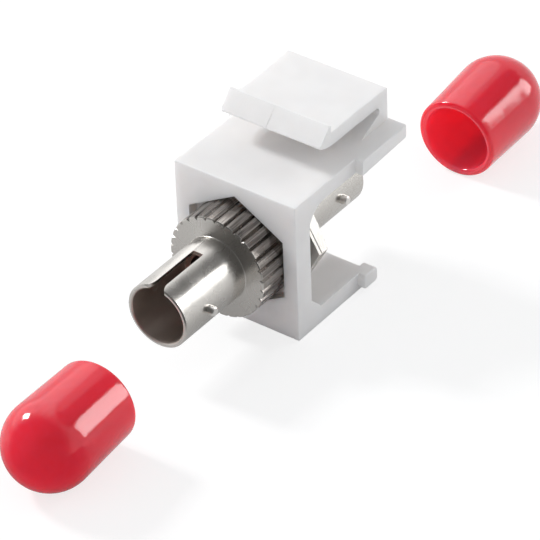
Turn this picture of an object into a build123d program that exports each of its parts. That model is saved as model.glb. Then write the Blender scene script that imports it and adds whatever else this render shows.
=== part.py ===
"""ST keystone module: a metal bayonet adapter clamped in a snap-in moulding, with its two dust caps.

Millimetres. +X is to the right seen from the front, +Y points to the rear of the panel and +Z is up.
The origin is on the adapter's axis, in the plane of the moulding's front face.
"""
import os
from math import asin, atan2, cos, pi, sin

from build123d import *

# Moulding: walls
body_width = 14.5
body_height = 15.9
front_wall = 2.25
top_depth = 17.5
bottom_depth = 11.45
edge_round = 0.1
top_fillet = 2.4
foot_gusset = 1.5
floor_recess = 0.3
floor_rim = 0.65

# Moulding: hexagonal pocket in the front wall, with the clearance hole for the threaded stub
pocket_clearance = 0.05
pocket_depth = 1.2

# Moulding: ears and foot lugs that stop the module against the panel
ear_width = 0.85
ear_start = 9.95
ear_corner = 0.3
ear_taper = 0.33
notch_round = 0.15
foot_lug_depth = 2.25
foot_lug_overhang = 0.65
foot_lug_lift = 0.4
foot_lug_corner_share = 0.2727
foot_lug_edge = 0.2

# Latch: a tongue that rises from the rear of the top plate and runs forward over a slot
latch_width = 11.9
latch_setback = 0.3
latch_root = 1.37
latch_slot_low = 1.2
latch_slot = 1.05
latch_thickness = 1.5
latch_gusset = 2.5
lip_rear = 7.85
lip_front = 5.9
lip_rise = 0.9
lip_front_drop = 0.6
lip_tip_flat = 0.25
lip_under_run = 2.6
lip_groove_width = 1.0
lip_groove_depth = 0.12
lip_corner = 0.4
lip_edge_round = 0.2
latch_edge_round = 0.12

# Adapter: barrels, key slots and bayonet lugs, alike at both ends
barrel_diameter = 7.0
barrel_wall = 0.45
front_mouth = -12.65
rear_mouth = 16.45
barrel_edge = 0.12
key_width = 1.2
key_end_from_mouth = 6.7
key_flare_length = 1.1
key_flare_side = 0.45
bayonet_diameter = 1.0
bayonet_from_mouth = 3.7
bayonet_height = 0.7
bayonet_edge = 0.12

# Adapter: knurled head, thread, flange and washer
head_wall = 0.84
head_proud = 3.25
head_fillet = 0.08
flute_count = 30
flute_depth = 0.34
flute_land = 0.12
flute_edge = 0.12
thread_diameter = 9.52
thread_pitch = 0.794
thread_depth = 0.35
thread_clearance = 0.03
stub_hole_clearance = 0.09
stub_end_gap = 0.2
flange_land = 1.39
flange_top_gap = 0.15
flange_low_gap = 0.05
flange_front = 4.25
flange_thickness = 1.3
flange_rear_chamfer = 0.3
flange_front_chamfer = 0.13
washer_thickness = 0.32
washer_clearance = 0.04

# Adapter: sleeve holders and the split sleeve for 2.5 mm ferrules
ferrule_diameter = 2.5
sleeve_diameter = 3.2
sleeve_length = 11.4
sleeve_slot = 0.5
sleeve_play = 0.1
sleeve_end_play = 0.15
holder_lip = 0.6
holder_lip_clearance = 0.2
holder_lead_in = 0.2
holder_nose_wall = 0.45
holder_wall = 0.85
holder_clearance = 0.05
web_thickness = 1.6
nose_proud = 0.28

# Dust caps, lying on the surface that the module stands on
cap_mouth_diameter = 8.8
cap_dome_diameter = 9.3
cap_side_length = 8.0
cap_wall = 0.8
cap_rim_round = 0.35
front_cap_place = (0.25, -22.3)
front_cap_yaw = 4.0
rear_cap_place = (4.15, 31.5)
rear_cap_yaw = 2.5

# Worked out from the sizes above
top = body_height / 2
floor = -body_height / 2
barrel_radius = barrel_diameter / 2
barrel_bore = barrel_radius - barrel_wall
middle = (front_mouth + rear_mouth) / 2
thread_radius = thread_diameter / 2
head_radius = thread_radius + head_wall
pocket_across_flats = 2 * (head_radius + pocket_clearance)
sleeve_radius = sleeve_diameter / 2
sleeve_space = sleeve_radius + sleeve_play
nose_radius = sleeve_space + holder_nose_wall
holder_radius = sleeve_space + holder_wall
nose_tip = middle - sleeve_length / 2 - sleeve_end_play - holder_lip
web_front = nose_tip + nose_proud
web_rear = web_front + web_thickness
flange_rear = flange_front + flange_thickness
flange_across_flats = 2 * (thread_radius + flange_land)
plate_under = flange_across_flats / 2 + flange_top_gap
recess_level = -flange_across_flats / 2 - flange_low_gap
rim_level = recess_level + floor_recess
foot_lug_height = rim_level - floor - foot_lug_lift
foot_lug_corner = foot_lug_corner_share * foot_lug_height
hinge_z = top + latch_slot_low + latch_slot / 2
latch_rear = top_depth - latch_setback
hinge_y = latch_rear - latch_root
slot_centre_y = hinge_y - latch_slot / 2
arm_under = hinge_z + latch_slot / 2
arm_top = arm_under + latch_thickness
lip_top = arm_top + lip_rise
lip_low = arm_under + lip_front_drop


def across(y):
    """Return the plane square to the adapter's axis at y, seen from the front, with +Z up."""
    return Plane.XZ.offset(-y)


def opposite(y):
    """Return the place that lies as far behind the adapter's middle as y lies before it."""
    return 2 * middle - y


def flare_point(start, sagitta, run, share):
    """Return a point of the arc that leaves start along +Y or -Y (the sign of run) and swings sideways."""
    radius = (run * run + sagitta * sagitta) / (2 * abs(sagitta))
    angle = asin(min(1.0, abs(run) / radius)) * share
    side = radius * (1 - cos(angle))
    ahead = radius * sin(angle)
    return (
        start[0] + (side if sagitta > 0 else -side),
        start[1] + (ahead if run > 0 else -ahead),
    )


def key_slot(mouth, outward):
    """Return the outline of a barrel's key slot from above, flared at its mouth; outward is -1 or 1."""
    half = key_width / 2
    end = mouth - outward * key_end_from_mouth
    neck = mouth - outward * key_flare_length
    run = outward * key_flare_length
    wide = half + key_flare_side
    beyond = mouth + outward * barrel_wall
    with BuildSketch() as slot:
        with BuildLine():
            Polyline((-half, neck), (-half, end), (half, end), (half, neck))
            ThreePointArc((half, neck), flare_point((half, neck), key_flare_side, run, 0.5), (wide, mouth))
            Polyline((wide, mouth), (wide, beyond), (-wide, beyond), (-wide, mouth))
            ThreePointArc(
                (-wide, mouth), flare_point((-half, neck), -key_flare_side, run, 0.5), (-half, neck)
            )
        make_face()
    return slot.sketch


def bayonet_hole(mouth, outward):
    """Return the outline of the cross hole that the two bayonet lugs of one barrel are pressed into."""
    with BuildSketch(Plane.YZ) as hole:
        with Locations((mouth - outward * bayonet_from_mouth, 0)):
            Circle(bayonet_diameter / 2)
    return hole.sketch


def latch_outline():
    """Return the side outline of the latch arm with its lip."""
    with BuildSketch(Plane.YZ) as outline:
        with BuildLine():
            RadiusArc((hinge_y, hinge_z), (slot_centre_y, arm_under), -latch_slot / 2)
            Line((slot_centre_y, arm_under), (lip_front + lip_under_run, arm_under))
            TangentArc(
                (lip_front + lip_under_run, arm_under), (lip_front, lip_low), tangent=(-1, 0)
            )
            Polyline(
                (lip_front, lip_low),
                (lip_rear - lip_tip_flat, lip_top),
                (lip_rear, lip_top),
                (lip_rear, arm_top),
                (latch_rear, arm_top),
                (latch_rear, hinge_z),
                (hinge_y, hinge_z),
            )
        make_face()
    return outline.sketch


# Housing: the C-shaped moulding
with BuildPart() as housing:
    with BuildSketch(Plane.YZ):
        with BuildLine():
            Polyline(
                (front_wall, plate_under - top_fillet),
                (front_wall, rim_level + foot_gusset),
                (front_wall + foot_gusset, rim_level),
                (bottom_depth, rim_level),
                (bottom_depth, floor),
                (0, floor),
                (0, top),
                (top_depth, top),
                (top_depth, plate_under),
                (front_wall + top_fillet, plate_under),
            )
            RadiusArc(
                (front_wall + top_fillet, plate_under), (front_wall, plate_under - top_fillet), -top_fillet
            )
        make_face()
    extrude(amount=body_width / 2, both=True)
    # Shallow recess in the floor between the two side rims
    with BuildSketch(Plane.XY.offset(rim_level)):
        with Locations((0, front_wall + foot_gusset)):
            Rectangle(
                body_width - 2 * floor_rim, bottom_depth, align=(Align.CENTER, Align.MIN)
            )
    extrude(amount=-floor_recess, mode=Mode.SUBTRACT)
    # Ears along the rear of the top plate, with a round in each notch and at each rear corner
    with BuildSketch(Plane.XY.offset(plate_under)) as ears:
        with Locations((0, top_depth)):
            Rectangle(
                body_width + 2 * ear_width, top_depth - ear_start, align=(Align.CENTER, Align.MAX)
            )
            Rectangle(body_width, top_depth - front_wall, align=(Align.CENTER, Align.MAX))
        fillet(ears.vertices().group_by(Axis.Y)[1].sort_by(Axis.X)[1:3], radius=notch_round)
        fillet(ears.vertices().group_by(Axis.Y)[-1], radius=ear_corner)
    extrude(amount=top - plate_under)
    # The plate thins towards its rear edge, from the ears' front ends on
    with BuildSketch(Plane.YZ):
        Polygon(
            (ear_start, plate_under),
            (top_depth, plate_under),
            (top_depth, plate_under + ear_taper),
            align=None,
        )
    extrude(amount=body_width, both=True, mode=Mode.SUBTRACT)
    # Rounded outer edges of the front, the top plate and the underside, before the pocket is cut
    front_outline = housing.faces().sort_by(Axis.Y)[0].outer_wire().edges()
    plate_outline = housing.faces().sort_by(Axis.Z)[-1].outer_wire().edges().sort_by(Axis.Y)[1:]
    underside_edges = housing.faces().sort_by(Axis.Z)[0].outer_wire().edges().filter_by(Axis.Y)
    fillet(front_outline + plate_outline + underside_edges, radius=edge_round)
    # Foot lugs at the lower rear corners, level with the rims of the floor
    for side in (-1, 1):
        with BuildSketch(Plane.YZ.offset(side * (body_width / 2 - floor_rim))) as foot:
            with Locations((bottom_depth + foot_lug_overhang, rim_level)):
                Rectangle(foot_lug_depth, foot_lug_height, align=(Align.MAX, Align.MAX))
            fillet(foot.vertices(), radius=foot_lug_corner)
        extrude(amount=side * (floor_rim + ear_width))
        sides = housing.faces().filter_by(Axis.X).sort_by(Axis.X)
        outer_faces = sides.group_by(Axis.X)[-1 if side > 0 else 0]
        fillet(outer_faces.sort_by(Axis.Z)[0].outer_wire().edges(), radius=foot_lug_edge)
    # Latch root: gusset, rounded slot end and the post that the arm bends on
    with BuildSketch(Plane.YZ):
        with BuildLine():
            Polyline(
                (hinge_y, hinge_z),
                (latch_rear, hinge_z),
                (latch_rear, top),
                (slot_centre_y - latch_gusset, top),
                (slot_centre_y, hinge_z - latch_slot / 2),
            )
            RadiusArc((slot_centre_y, hinge_z - latch_slot / 2), (hinge_y, hinge_z), -latch_slot / 2)
        make_face()
    extrude(amount=latch_width / 2, both=True)
    # Hexagonal pocket with a point up, and the hole through its floor
    with BuildSketch(across(0)):
        RegularPolygon(pocket_across_flats / 2, 6, major_radius=False, rotation=30)
    extrude(amount=-pocket_depth, mode=Mode.SUBTRACT)
    with BuildSketch(across(0)):
        Circle(thread_radius + stub_hole_clearance)
    extrude(amount=-(front_wall + top_fillet), mode=Mode.SUBTRACT)

# Latch lip: the front of the tongue, rounded along its lower edge and at its front corners
with BuildPart() as latch_lip:
    extrude(latch_outline(), amount=latch_width / 2, both=True)
    fillet(latch_lip.edges().sort_by(Axis.Y)[0], radius=lip_edge_round)
    split(bisect_by=across(lip_rear), keep=Keep.TOP)
    with BuildSketch(Plane.XY.offset(arm_under)) as lip_plan:
        with Locations((0, lip_front)):
            Rectangle(latch_width, lip_rear - lip_front, align=(Align.CENTER, Align.MIN))
        fillet(lip_plan.vertices().group_by(Axis.Y)[0], radius=lip_corner)
    extrude(amount=lip_top - arm_under, mode=Mode.INTERSECT)

# Latch arm: meets the housing's latch root at the flat section that it bends on
with BuildPart() as latch_arm:
    extrude(latch_outline(), amount=latch_width / 2, both=True)
    split(bisect_by=across(lip_rear), keep=Keep.BOTTOM)
    # Rounded edges along the sides and rear of the arm's top
    top_edges = latch_arm.faces().sort_by(Axis.Z)[-1].outer_wire().edges().sort_by(Axis.Y)[1:]
    fillet(top_edges, radius=latch_edge_round)
    add(latch_lip.part)
    # Shallow groove down the middle of the lip's sloped face
    with BuildSketch(Plane.YZ):
        with BuildLine():
            Polyline(
                (lip_front - lip_groove_depth, lip_low),
                (lip_front + lip_groove_depth, lip_low),
                (lip_rear - lip_tip_flat + lip_groove_depth, lip_top),
                (lip_rear - lip_tip_flat - lip_groove_depth, lip_top),
                close=True,
            )
        make_face()
    extrude(amount=lip_groove_width / 2, both=True, mode=Mode.SUBTRACT)

# Front shell: barrel and knurled head, turned in one piece
with BuildPart() as front_shell:
    with BuildSketch(Plane.YZ):
        with BuildLine():
            Polyline(
                (front_mouth, barrel_bore),
                (front_mouth, barrel_radius),
                (-head_proud, barrel_radius),
                (-head_proud, head_radius),
                (pocket_depth, head_radius),
                (pocket_depth, thread_radius + thread_clearance),
                (web_rear, thread_radius + thread_clearance),
                (web_rear, nose_radius + holder_clearance),
                (web_front, nose_radius + holder_clearance),
                (web_front, barrel_bore),
                close=True,
            )
        make_face()
    revolve(axis=Axis.Y)
    mouth_edges = front_shell.edges().filter_by(GeomType.CIRCLE).group_by(Axis.Y)[0]
    chamfer(mouth_edges, length=barrel_edge)
    root_edge = front_shell.edges().filter_by(GeomType.CIRCLE).filter_by_position(
        Axis.Y, -head_proud, -head_proud
    )
    fillet(root_edge.sort_by(SortBy.RADIUS)[0], radius=head_fillet)
    # Flutes of the knurl: wide V-shaped grooves that leave narrow lands
    pitch_half = pi * head_radius / flute_count
    groove_half = pitch_half - flute_land / 2
    with BuildSketch(across(-head_proud)):
        with PolarLocations(head_radius, flute_count, start_angle=180 / flute_count):
            Polygon(
                (-flute_depth, 0),
                (flute_depth, 2 * groove_half),
                (flute_depth, -2 * groove_half),
                align=None,
            )
    extrude(amount=-(head_proud + pocket_depth), mode=Mode.SUBTRACT)
    head_face = front_shell.faces().filter_by(Axis.Y).sort_by(Axis.Y)[1]
    chamfer(head_face.outer_wire().edges(), length=flute_edge)
    extrude(key_slot(front_mouth, -1), amount=barrel_diameter, mode=Mode.SUBTRACT)
    extrude(bayonet_hole(front_mouth, -1), amount=barrel_diameter, both=True, mode=Mode.SUBTRACT)

# Rear shell: threaded stub, hexagonal flange and rear barrel, turned in one piece
with BuildPart() as rear_shell:
    stub_front = web_rear + stub_end_gap
    thread_end = flange_front - washer_thickness
    groove_count = int((thread_end - pocket_depth) / thread_pitch)
    stub_outline = [(stub_front, holder_radius + holder_clearance), (stub_front, thread_radius)]
    for turn in range(groove_count):
        groove_start = thread_end - (groove_count - turn) * thread_pitch
        stub_outline.append((groove_start, thread_radius))
        stub_outline.append((groove_start + thread_pitch / 2, thread_radius - thread_depth))
    stub_outline.append((thread_end, thread_radius))
    with BuildSketch(Plane.YZ):
        with BuildLine():
            Polyline(
                *stub_outline,
                (flange_rear, thread_radius),
                (flange_rear, barrel_radius),
                (rear_mouth, barrel_radius),
                (rear_mouth, barrel_bore),
                (opposite(web_front), barrel_bore),
                (opposite(web_front), nose_radius + holder_clearance),
                (opposite(web_rear), nose_radius + holder_clearance),
                (opposite(web_rear), holder_radius + holder_clearance),
                close=True,
            )
        make_face()
    revolve(axis=Axis.Y)
    rear_edges = rear_shell.edges().filter_by(GeomType.CIRCLE).group_by(Axis.Y)[-1]
    chamfer(rear_edges, length=barrel_edge)
    # Flange with points left and right, held by its upper and lower flats
    with BuildSketch(across(flange_front)):
        RegularPolygon(flange_across_flats / 2, 6, major_radius=False)
        Circle(barrel_radius, mode=Mode.SUBTRACT)
    extrude(amount=-flange_thickness)
    flange_edges = rear_shell.edges().filter_by(GeomType.LINE).filter_by_position(
        Axis.Y, flange_front, flange_front
    )
    chamfer(flange_edges, length=flange_front_chamfer)
    # Turned chamfer that leaves arcs on the rear corners of the flange
    with BuildSketch(Plane.YZ):
        with BuildLine():
            Polyline(
                (flange_rear, flange_across_flats / 2),
                (flange_rear, flange_across_flats),
                (
                    flange_rear - flange_rear_chamfer * flange_across_flats / 2,
                    flange_across_flats,
                ),
                close=True,
            )
        make_face()
    revolve(axis=Axis.Y, mode=Mode.SUBTRACT)
    extrude(key_slot(rear_mouth, 1), amount=barrel_diameter, mode=Mode.SUBTRACT)
    extrude(bayonet_hole(rear_mouth, 1), amount=barrel_diameter, both=True, mode=Mode.SUBTRACT)

# Hexagonal washer between the flange and the moulding's gussets
with BuildPart() as hex_washer:
    with BuildSketch(across(flange_front - washer_thickness)):
        RegularPolygon(flange_across_flats / 2, 6, major_radius=False)
        Circle(thread_radius + washer_clearance, mode=Mode.SUBTRACT)
    extrude(amount=-washer_thickness)

# Sleeve holders: two like halves that meet in the adapter's middle
with BuildPart() as sleeve_holder_front:
    lip_bore = ferrule_diameter / 2 + holder_lip_clearance
    with BuildSketch(Plane.YZ):
        with BuildLine():
            Polyline(
                (nose_tip, lip_bore + holder_lead_in),
                (nose_tip, nose_radius),
                (web_rear, nose_radius),
                (web_rear, holder_radius),
                (middle, holder_radius),
                (middle, sleeve_space),
                (nose_tip + holder_lip, sleeve_space),
                (nose_tip + holder_lip, lip_bore),
                (nose_tip + holder_lead_in, lip_bore),
                close=True,
            )
        make_face()
    revolve(axis=Axis.Y)

with BuildPart() as sleeve_holder_rear:
    mirror(sleeve_holder_front.part, about=across(middle))

# Alignment sleeve: split along its underside so that it grips both ferrules
with BuildPart() as alignment_sleeve:
    with BuildSketch(across(middle - sleeve_length / 2)):
        Circle(sleeve_radius)
        Circle(ferrule_diameter / 2, mode=Mode.SUBTRACT)
        Rectangle(
            sleeve_slot, sleeve_diameter, align=(Align.CENTER, Align.MAX), mode=Mode.SUBTRACT
        )
    extrude(amount=-sleeve_length)

pieces = {
    "housing": housing.part,
    "latch_arm": latch_arm.part,
    "front_shell": front_shell.part,
    "rear_shell": rear_shell.part,
    "hex_washer": hex_washer.part,
    "sleeve_holder_front": sleeve_holder_front.part,
    "sleeve_holder_rear": sleeve_holder_rear.part,
    "alignment_sleeve": alignment_sleeve.part,
}

# Bayonet lugs: one pin on each side of each barrel, from the bore out past the barrel
for end_name, mouth, outward in (("front", front_mouth, -1), ("rear", rear_mouth, 1)):
    for side_name, side in (("left", -1), ("right", 1)):
        with BuildPart() as bayonet_lug:
            with BuildSketch(Plane.YZ.offset(side * barrel_bore)):
                with Locations((mouth - outward * bayonet_from_mouth, 0)):
                    Circle(bayonet_diameter / 2)
            extrude(amount=side * (barrel_wall + bayonet_height))
            tip_edges = bayonet_lug.edges().filter_by(GeomType.CIRCLE).sort_by(Axis.X)
            chamfer(tip_edges[-1 if side > 0 else 0], length=bayonet_edge)
        pieces[f"{end_name}_lug_{side_name}"] = bayonet_lug.part


# Dust caps: a soft tube that widens a little to its domed end, resting along its side
cap_mouth_radius = cap_mouth_diameter / 2
cap_dome_radius = cap_dome_diameter / 2
cap_tilt = atan2(cap_dome_radius - cap_mouth_radius, cap_side_length)
for end_name, place, yaw, outward in (
    ("front", front_cap_place, front_cap_yaw, -1),
    ("rear", rear_cap_place, rear_cap_yaw, 1),
):
    across_cap = Vector(1, 0, 0).rotate(Axis.Z, yaw)
    along_cap = Vector(0, outward * cos(cap_tilt), sin(cap_tilt)).rotate(Axis.Z, yaw)
    mouth_centre = Vector(place[0], place[1], floor + cap_mouth_radius * cos(cap_tilt))
    inner_dome = cap_dome_radius - cap_wall
    with BuildPart() as dust_cap:
        with BuildSketch(Plane(mouth_centre, x_dir=along_cap, z_dir=across_cap)):
            with BuildLine():
                CenterArc((cap_side_length, 0), cap_dome_radius, 0, 90)
                CenterArc((cap_side_length, 0), inner_dome, 0, 90)
                Line((cap_side_length + inner_dome, 0), (cap_side_length + cap_dome_radius, 0))
                Polyline(
                    (cap_side_length, cap_dome_radius),
                    (0, cap_mouth_radius),
                    (0, cap_mouth_radius - cap_wall),
                    (cap_side_length, inner_dome),
                )
            make_face()
        cap_axis = Axis(mouth_centre, along_cap)
        revolve(axis=cap_axis)
        rim_edges = dust_cap.edges().filter_by(GeomType.CIRCLE).sort_by(cap_axis)[:2]
        fillet(rim_edges, radius=cap_rim_round)
    pieces[f"{end_name}_dust_cap"] = dust_cap.part

os.makedirs("parts", exist_ok=True)
for name, piece in pieces.items():
    piece.label = name
    export_step(piece, f"parts/{name}.step")
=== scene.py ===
"""Looks of the ST keystone module: white moulding, plated bayonet adapter and two red dust caps.

Metres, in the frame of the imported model: +X to the right seen from the front, +Y to the rear of
the panel, +Z up, origin on the adapter's axis in the plane of the moulding's front face.
"""
import logging
from dataclasses import dataclass, field
from enum import Enum
from math import atan2, cos, pi, radians, sin

import bmesh
import bpy
from mathutils import Matrix, Vector


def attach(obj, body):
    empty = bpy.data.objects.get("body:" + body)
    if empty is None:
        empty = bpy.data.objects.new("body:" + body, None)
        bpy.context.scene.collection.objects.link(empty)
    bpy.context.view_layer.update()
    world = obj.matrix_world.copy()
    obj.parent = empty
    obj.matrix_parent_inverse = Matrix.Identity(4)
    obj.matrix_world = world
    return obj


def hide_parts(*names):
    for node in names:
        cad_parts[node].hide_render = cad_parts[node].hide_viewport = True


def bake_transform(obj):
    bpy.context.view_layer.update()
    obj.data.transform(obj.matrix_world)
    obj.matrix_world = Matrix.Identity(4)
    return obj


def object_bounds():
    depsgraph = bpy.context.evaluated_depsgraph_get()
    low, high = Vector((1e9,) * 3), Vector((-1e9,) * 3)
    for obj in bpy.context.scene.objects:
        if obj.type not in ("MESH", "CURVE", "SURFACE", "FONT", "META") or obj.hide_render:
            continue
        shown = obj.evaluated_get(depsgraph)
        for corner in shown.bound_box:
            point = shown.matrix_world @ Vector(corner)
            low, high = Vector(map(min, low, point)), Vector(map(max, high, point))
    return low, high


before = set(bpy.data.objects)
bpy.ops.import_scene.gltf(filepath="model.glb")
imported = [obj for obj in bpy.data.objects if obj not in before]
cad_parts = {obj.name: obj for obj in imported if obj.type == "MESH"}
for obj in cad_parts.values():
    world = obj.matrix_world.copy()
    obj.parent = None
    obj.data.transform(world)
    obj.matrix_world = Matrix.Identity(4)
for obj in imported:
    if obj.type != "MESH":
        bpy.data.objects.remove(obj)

log = logging.getLogger("keystone_module")

MM = 0.001
CAD_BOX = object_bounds()
FLOOR_LEVEL = CAD_BOX[0][2]
PATCH_RATIO = 26.0  # how much broader the patches of a surface are than its grain
Colour = tuple[float, float, float]
Span = tuple[float, float]


class End(Enum):
    """The two ends of the adapter; the value is the way that points out of the module along Y."""

    FRONT = -1
    REAR = 1


def grey(level: float) -> Colour:
    """Return a neutral colour of the given level."""
    return (level, level, level)


def direction(azimuth: float, elevation: float) -> Vector:
    """Return the unit vector at an azimuth, in degrees from +Y towards +X, and an elevation in degrees."""
    a, e = radians(azimuth), radians(elevation)
    return Vector((sin(a) * cos(e), cos(a) * cos(e), sin(e)))


class NodeDesk:
    """Adds and joins the nodes of one node tree."""

    def __init__(self, tree: bpy.types.NodeTree) -> None:
        """Empty the node tree of a material, a world, a group or a modifier, and keep it."""
        self.tree = tree
        tree.nodes.clear()

    def add(self, kind: str, **settings: object) -> bpy.types.Node:
        """Add a node.

        Args:
            kind: The node's type name in Blender.
            settings: Attributes of the node, such as operation="ADD".

        Returns:
            The new node.
        """
        node = self.tree.nodes.new(kind)
        for name, value in settings.items():
            setattr(node, name, value)
        node.location = (180 * (len(self.tree.nodes) % 12), -220 * (len(self.tree.nodes) // 12))
        return node

    def feed(self, socket: bpy.types.NodeSocket, value: object) -> None:
        """Link a socket to an input, or set the input to a plain value.

        Args:
            socket: The input socket.
            value: An output socket, or the number, vector or colour to set.
        """
        if isinstance(value, bpy.types.NodeSocket):
            self.tree.links.new(value, socket)
        elif isinstance(value, tuple) and socket.type == "RGBA" and len(value) == 3:
            socket.default_value = (*value, 1.0)
        else:
            socket.default_value = value

    def place(self, kind: str, inputs: dict[str, object], **settings: object) -> bpy.types.Node:
        """Add a node of the kind, with its settings, and feed its named inputs."""
        node = self.add(kind, **settings)
        for name, value in inputs.items():
            self.feed(node.inputs[name], value)
        return node

    def maths(self, operation: str, a: object, b: object = 0.0, c: object = 0.0) -> bpy.types.NodeSocket:
        """Return the result of a maths node.

        Args:
            operation: The operation's name, such as "MULTIPLY".
            a: First value or socket.
            b: Second value or socket.
            c: Third value or socket, where the operation has one.

        Returns:
            The output socket.
        """
        node = self.add("ShaderNodeMath", operation=operation)
        for socket, value in zip(node.inputs, (a, b, c)):
            self.feed(socket, value)
        return node.outputs[0]

    def parts(self, vector: object) -> bpy.types.bpy_prop_collection:
        """Return the sockets X, Y and Z of a vector."""
        return self.place("ShaderNodeSeparateXYZ", {"Vector": vector}).outputs

    def joined(self, x: object, y: object, z: object) -> bpy.types.NodeSocket:
        """Return the vector that has the given X, Y and Z."""
        return self.place("ShaderNodeCombineXYZ", {"X": x, "Y": y, "Z": z}).outputs[0]


class ShaderDesk(NodeDesk):
    """Short forms for the nodes that the shaders here use most."""

    def smooth_range(self, value: object, low: float, high: float) -> bpy.types.NodeSocket:
        """Return a smooth step of value that is 0 at low and 1 at high."""
        node = self.add("ShaderNodeMapRange", interpolation_type="SMOOTHSTEP")
        self.feed(node.inputs["Value"], value)
        self.feed(node.inputs["From Min"], low)
        self.feed(node.inputs["From Max"], high)
        return node.outputs["Result"]

    def blend(self, share: object, first: object, second: object) -> bpy.types.NodeSocket:
        """Return a colour between first, at share 0, and second, at share 1."""
        node = self.add("ShaderNodeMix", data_type="RGBA", clamp_factor=True)
        self.feed(node.inputs[0], share)
        self.feed(node.inputs[6], first)
        self.feed(node.inputs[7], second)
        return node.outputs[2]

    def noise(self, vector: object, scale: object, detail: float = 2.0) -> bpy.types.NodeSocket:
        """Return the factor of a noise texture."""
        node = self.place("ShaderNodeTexNoise", {"Vector": vector, "Scale": scale, "Detail": detail})
        return node.outputs[0]

    def length(self, vector: object) -> bpy.types.NodeSocket:
        """Return the length of a vector."""
        node = self.add("ShaderNodeVectorMath", operation="LENGTH")
        self.feed(node.inputs[0], vector)
        return node.outputs["Value"]

    def reach(self, vector: object, towards: Vector) -> bpy.types.NodeSocket:
        """Return how far a vector reaches towards a unit vector."""
        node = self.add("ShaderNodeVectorMath", operation="DOT_PRODUCT")
        self.feed(node.inputs[0], vector)
        self.feed(node.inputs[1], tuple(towards))
        return node.outputs["Value"]

    def mixed(self, share: object, first: object, second: object) -> bpy.types.NodeSocket:
        """Return a shader between first, at share 0, and second, at share 1."""
        node = self.add("ShaderNodeMixShader")
        for socket, value in zip(node.inputs, (share, first, second)):
            self.feed(socket, value)
        return node.outputs[0]


def shader_group(name: str, inputs: dict[str, str], outputs: list[str]) -> bpy.types.NodeTree:
    """Make an empty shader node group with its sockets.

    Args:
        name: The group's name.
        inputs: Socket types by input name, such as "NodeSocketVector".
        outputs: Names of the value outputs.

    Returns:
        The group's tree.
    """
    group = bpy.data.node_groups.new(name, "ShaderNodeTree")
    for label, kind in inputs.items():
        group.interface.new_socket(label, in_out="INPUT", socket_type=kind)
    for label in outputs:
        group.interface.new_socket(label, in_out="OUTPUT", socket_type="NodeSocketFloat")
    return group


def surface_grain_group() -> bpy.types.NodeTree:
    """Make the group for fine grain and broad, faint patches on a surface.

    Returns:
        A group that puts out Grain, about 0 to 1 at the given scale, and Patches, much broader.
    """
    group = shader_group(
        "surface_grain",
        {"Vector": "NodeSocketVector", "Scale": "NodeSocketFloat"},
        ["Grain", "Patches"],
    )
    desk = ShaderDesk(group)
    given = desk.add("NodeGroupInput")
    result = desk.add("NodeGroupOutput")
    fine = desk.noise(given.outputs["Vector"], given.outputs["Scale"], detail=3.0)
    broad_scale = desk.maths("DIVIDE", given.outputs["Scale"], PATCH_RATIO)
    desk.feed(result.inputs["Grain"], fine)
    desk.feed(result.inputs["Patches"], desk.noise(given.outputs["Vector"], broad_scale, detail=1.0))
    return group


def turned_lines_group() -> bpy.types.NodeTree:
    """Make the group for the lines that turning leaves round the adapter's axis.

    Returns:
        A group that puts out Lines, about 0 to 1, and Radius, the distance from the axis.
    """
    group = shader_group(
        "turned_lines",
        {"Vector": "NodeSocketVector", "Lines per Metre": "NodeSocketFloat"},
        ["Lines", "Radius"],
    )
    desk = ShaderDesk(group)
    given = desk.add("NodeGroupInput")
    result = desk.add("NodeGroupOutput")
    split = desk.parts(given.outputs["Vector"])
    across_square = desk.maths("MULTIPLY", split["X"], split["X"])
    height_square = desk.maths("MULTIPLY", split["Z"], split["Z"])
    radius = desk.maths("SQRT", desk.maths("ADD", across_square, height_square))
    reach = desk.maths("ADD", split["Y"], radius)
    lines = desk.add("ShaderNodeTexNoise", noise_dimensions="1D")
    desk.feed(lines.inputs["W"], reach)
    desk.feed(lines.inputs["Scale"], given.outputs["Lines per Metre"])
    desk.feed(lines.inputs["Detail"], 2.0)
    desk.feed(result.inputs["Lines"], lines.outputs[0])
    desk.feed(result.inputs["Radius"], radius)
    return group


GRAIN = surface_grain_group()
TURNED = turned_lines_group()


class FinishDesk(ShaderDesk):
    """The node desk of one material, with its coordinates and its output in place."""

    def __init__(self, name: str) -> None:
        """Make the material of the given name."""
        self.material = bpy.data.materials.new(name)
        self.material.use_nodes = True
        super().__init__(self.material.node_tree)
        self.place_on_piece = self.add("ShaderNodeTexCoord").outputs["Object"]
        self.shader = self.add("ShaderNodeBsdfPrincipled")
        self.output = self.place("ShaderNodeOutputMaterial", {"Surface": self.shader.outputs[0]})

    def group(self, tree: bpy.types.NodeTree, **inputs: object) -> bpy.types.Node:
        """Place a shared group on the piece's own coordinates.

        Args:
            tree: The group.
            inputs: Values by input name, with _ for a space.

        Returns:
            The group node.
        """
        node = self.add("ShaderNodeGroup", node_tree=tree)
        self.feed(node.inputs["Vector"], self.place_on_piece)
        for name, value in inputs.items():
            self.feed(node.inputs[name.replace("_", " ")], value)
        return node

    def set(self, **inputs: object) -> None:
        """Set or link inputs of the Principled shader, named with _ for a space."""
        for name, value in inputs.items():
            self.feed(self.shader.inputs[name.replace("_", " ")], value)

    def bump(self, height: object, strength: float, distance: float) -> None:
        """Give the shader a bumped normal; distance is the height of the bump in metres."""
        node = self.place("ShaderNodeBump", {"Strength": strength, "Distance": distance, "Height": height})
        self.feed(self.shader.inputs["Normal"], node.outputs["Normal"])


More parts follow.
